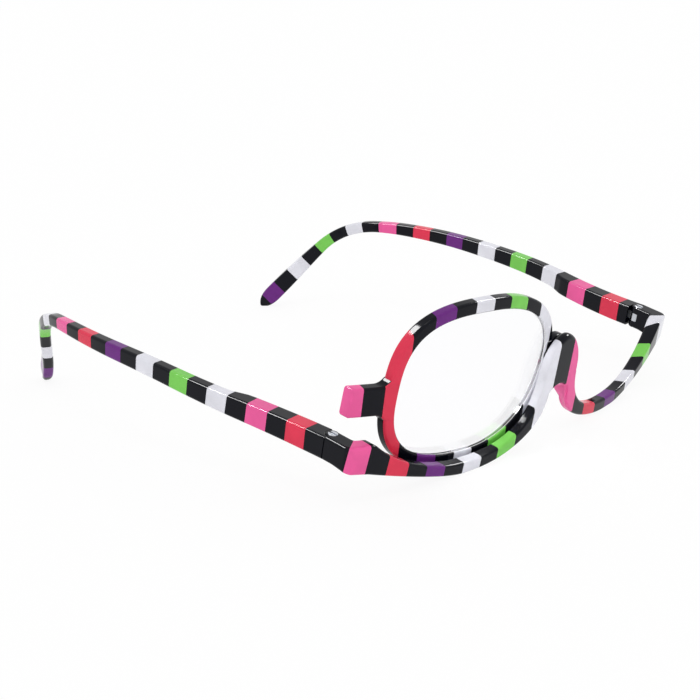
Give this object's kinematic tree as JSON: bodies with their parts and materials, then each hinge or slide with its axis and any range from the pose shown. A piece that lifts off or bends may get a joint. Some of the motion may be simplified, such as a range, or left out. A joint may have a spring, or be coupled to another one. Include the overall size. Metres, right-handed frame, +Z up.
{
  "type": "flip-down make-up glasses",
  "caption": "Open-topped striped acetate make-up glasses whose single oval magnifying lens swings over the bridge from one eye to the other.",
  "frame": {"origin": "middle of the footprint, on the ground that the half-rims and temple tips rest on", "axes": "+X towards the wearer's left eye, which is bare at rest; +Y from the front back along the temples; +Z up"},
  "size_m": [0.1448, 0.1542, 0.0447],
  "materials": {
    "acetate_front": "gloss",
    "acetate_ring": "gloss",
    "acetate_left": "gloss",
    "acetate_right": "gloss",
    "lens": "gloss",
    "steel": "satin",
    "brass": "satin",
    "nylon": "matte"
  },
  "bodies": {
    "front": {"front_frame": "acetate_front", "hinge_nuts": "steel", "hinge_screws": "steel", "pivot_insert": "brass", "friction_washer": "nylon", "pivot_screw": "steel", "spring_washer": "steel"},
    "lens": {"lens_ring": "acetate_ring", "lens": "lens", "pivot_bush": "brass"},
    "left_temple": {"temple_left": "acetate_left", "hinge_tongue_left": "steel"},
    "right_temple": {"temple_right": "acetate_right", "hinge_tongue_right": "steel"}
  },
  "joints": [
    {"name": "lens_swing", "type": "hinge", "parent": "front", "child": "lens", "pos_m": [0, -0.07592, 0.02268], "axis": [0, 0.9742, 0.2258], "range_deg": [0, 180]},
    {"name": "left_fold", "type": "hinge", "parent": "front", "child": "left_temple", "pos_m": [-0.0657, -0.05295, 0.00378], "axis": [0, 0.2258, -0.9742], "range_deg": [0, 82]},
    {"name": "right_fold", "type": "hinge", "parent": "front", "child": "right_temple", "pos_m": [0.0657, -0.05295, 0.00378], "axis": [0, -0.2258, 0.9742], "range_deg": [0, 90]}
  ]
}
